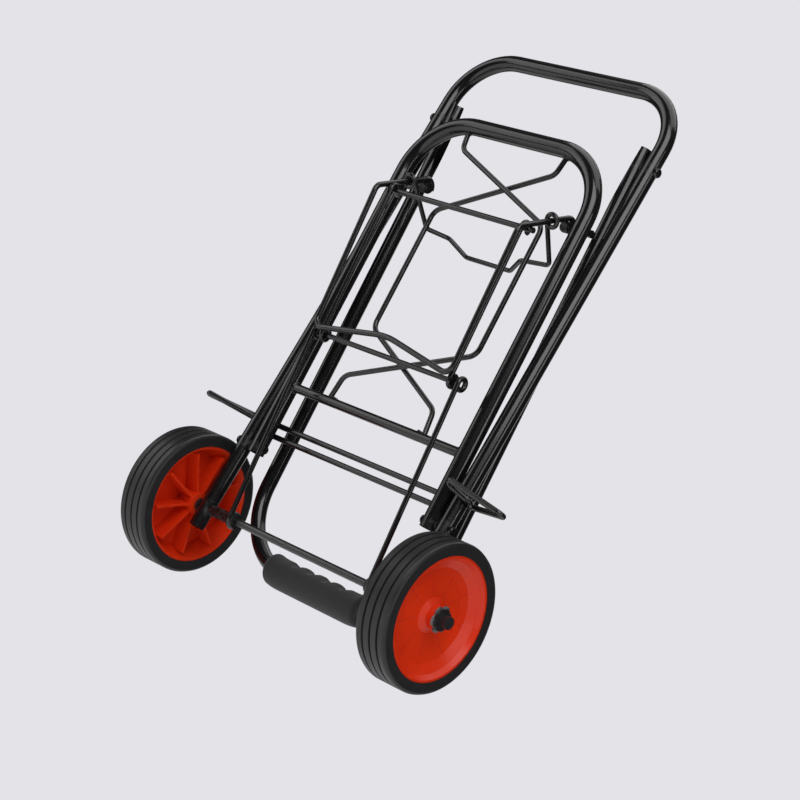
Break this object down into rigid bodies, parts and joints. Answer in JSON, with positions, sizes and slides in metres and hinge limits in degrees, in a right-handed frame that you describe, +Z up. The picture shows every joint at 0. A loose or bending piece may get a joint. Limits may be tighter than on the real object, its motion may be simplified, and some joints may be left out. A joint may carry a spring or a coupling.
{
  "type": "hand truck",
  "caption": "Folding luggage cart, shown folded: bent-tube frame with carry bow, hinged handle frame and platform, wire stand, two wheels",
  "frame": {"origin": "on the floor under the middle of the axle, in the middle plane of the main frame", "axes": "+X along the axle to the right, +Y to the back, +Z up along the legs of the main frame"},
  "size_m": [0.43, 0.1523, 0.6575],
  "materials": {
    "black_enamel": "gloss",
    "black_wire": "gloss",
    "red_plastic": "gloss",
    "tyre": "matte",
    "foam": "matte",
    "black_plastic": "satin",
    "zinc_steel": "satin"
  },
  "bodies": {
    "frame": {"axle": "black_enamel", "guard_wire": "black_wire", "left_axle_cap": "black_plastic", "left_axle_sleeve": "black_wire", "left_handle_rivet": "black_wire", "left_handle_spacer": "black_plastic", "left_platform_rivet": "black_wire", "left_platform_spacer": "black_plastic", "left_push_nut": "zinc_steel", "left_stay_clip": "black_plastic", "left_wheel_washer": "black_plastic", "main_frame": "black_enamel", "right_axle_cap": "black_plastic", "right_axle_sleeve": "black_wire", "right_handle_rivet": "black_wire", "right_handle_spacer": "black_plastic", "right_platform_rivet": "black_wire", "right_platform_spacer": "black_plastic", "right_push_nut": "zinc_steel", "right_stay_clip": "black_plastic", "right_wheel_washer": "black_plastic"},
    "left_wheel": {"left_hub": "red_plastic", "left_tyre": "tyre"},
    "right_wheel": {"right_hub": "red_plastic", "right_tyre": "tyre"},
    "handle": {"handle_frame": "black_enamel", "foam_grip": "foam"},
    "platform": {"platform_frame": "black_enamel", "platform_cross_tube": "black_enamel", "left_mesh_wire": "black_wire", "right_mesh_wire": "black_wire", "left_hook_pin": "black_wire", "right_hook_pin": "black_wire", "left_hook_bush": "black_plastic", "right_hook_bush": "black_plastic"},
    "stand": {"stand_loop": "black_wire", "stand_crossbar": "black_wire", "stand_foot_rod": "black_wire", "left_stand_strut": "black_wire", "right_stand_strut": "black_wire"},
    "bail": {"bail": "black_wire"},
    "stays": {"left_stay": "black_wire", "right_stay": "black_wire"}
  },
  "joints": [
    {"name": "left_wheel_spin", "type": "hinge", "parent": "frame", "child": "left_wheel", "pos_m": [0, 0, 0.075], "axis": [1, 0, 0], "continuous": true},
    {"name": "right_wheel_spin", "type": "hinge", "parent": "frame", "child": "right_wheel", "pos_m": [0, 0, 0.075], "axis": [1, 0, 0], "continuous": true},
    {"name": "handle_fold", "type": "hinge", "parent": "frame", "child": "handle", "pos_m": [0, 0, 0.565], "axis": [1, 0, 0], "range_deg": [0, 158.8]},
    {"name": "platform_fold", "type": "hinge", "parent": "frame", "child": "platform", "pos_m": [0, 0, 0.155], "axis": [1, 0, 0], "range_deg": [0, 85]},
    {"name": "stays_fold", "type": "hinge", "parent": "frame", "child": "stays", "pos_m": [0, 0, 0.075], "axis": [1, 0, 0], "range_deg": [0, 96.46]},
    {"name": "stand_fold", "type": "hinge", "parent": "platform", "child": "stand", "pos_m": [0, -0.01193, 0.47944], "axis": [1, 0, 0], "range_deg": [-40.2, 0]},
    {"name": "bail_swing", "type": "hinge", "parent": "stand", "child": "bail", "pos_m": [0, -0.03707, 0.47171], "axis": [1, 0, 0], "range_deg": [0, 12.76]}
  ],
  "couplings": [
    {"joint": "stays_fold", "follows": "platform_fold", "ratio": 1.1347},
    {"joint": "stand_fold", "follows": "platform_fold", "ratio": -0.47287},
    {"joint": "bail_swing", "follows": "platform_fold", "ratio": 0.15}
  ]
}
